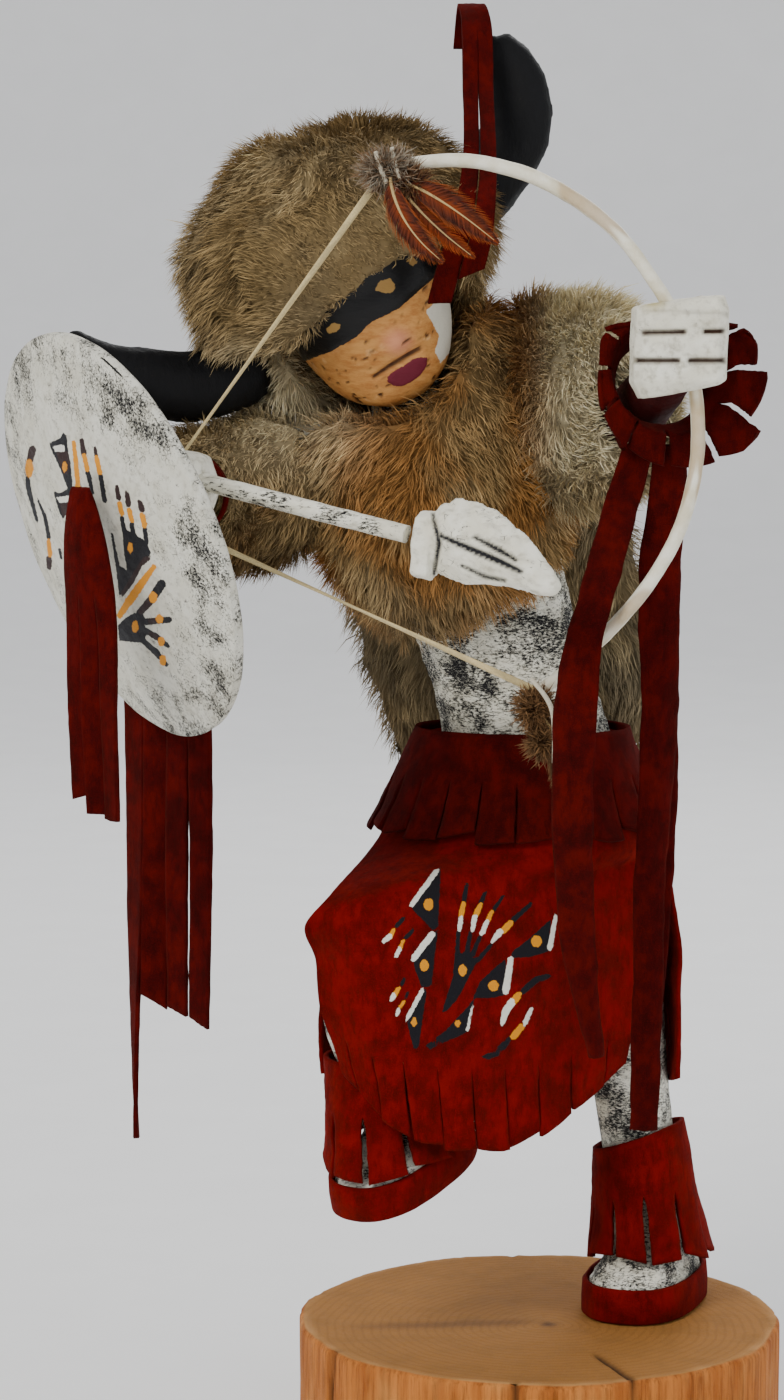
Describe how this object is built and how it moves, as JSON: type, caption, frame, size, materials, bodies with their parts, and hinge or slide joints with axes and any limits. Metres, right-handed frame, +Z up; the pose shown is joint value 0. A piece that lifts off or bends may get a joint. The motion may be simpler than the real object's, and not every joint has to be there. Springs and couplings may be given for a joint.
{
  "type": "carved kachina doll",
  "caption": "Carved and painted kachina doll of a fur-hooded dancer drawing a bow, in a fringed suede kilt, standing on one leg on a debarked log slice.",
  "frame": {"origin": "centre of the log slice's underside", "axes": "+Z up along the figure, -Z out of the log's underside, the dancer faces -Y and +X is to the picture's right"},
  "size_m": [0.2032, 0.1811, 0.3932],
  "materials": {
    "log_wood": "bare debarked pine, sawn top",
    "white_paint": "white paint rubbed through to black",
    "mask_wood": "bare tan wood with a black painted band",
    "black_paint": "matt black paint",
    "bow_paint": "cream painted twig",
    "fur": "soft brown pelt",
    "red_suede": "dark red suede",
    "raffia": "dry straw-coloured fibre",
    "feather": "rust-brown vane with a pale quill"
  },
  "bodies": {
    "root": {"log_base": "log_wood", "body": "white_paint", "head": "mask_wood", "bow_arm": "white_paint", "bow_fist": "white_paint", "drawing_arm": "white_paint", "horn_right": "black_paint", "horn_left": "black_paint", "fur_hood": "fur", "fur_mantle": "fur", "fur_bow_sleeve": "fur", "fur_drawing_sleeve": "fur", "fur_cape": "fur", "bow": "bow_paint", "bowstring": "raffia", "arrow_shaft": "white_paint", "arrow_head": "white_paint", "shield": "white_paint", "shield_tassel": "red_suede", "belt": "red_suede", "apron_front": "red_suede", "apron_back": "red_suede", "gaiter_standing": "red_suede", "gaiter_raised": "red_suede", "sole_band_standing": "red_suede", "sole_band_raised": "red_suede", "bow_cuff": "red_suede", "drawing_cuff": "red_suede", "strip_front": "red_suede", "strip_rear": "red_suede", "strip_middle": "red_suede", "horn_drape": "red_suede", "feathers_upper": "feather", "feathers_lower": "feather"}
  },
  "joints": []
}
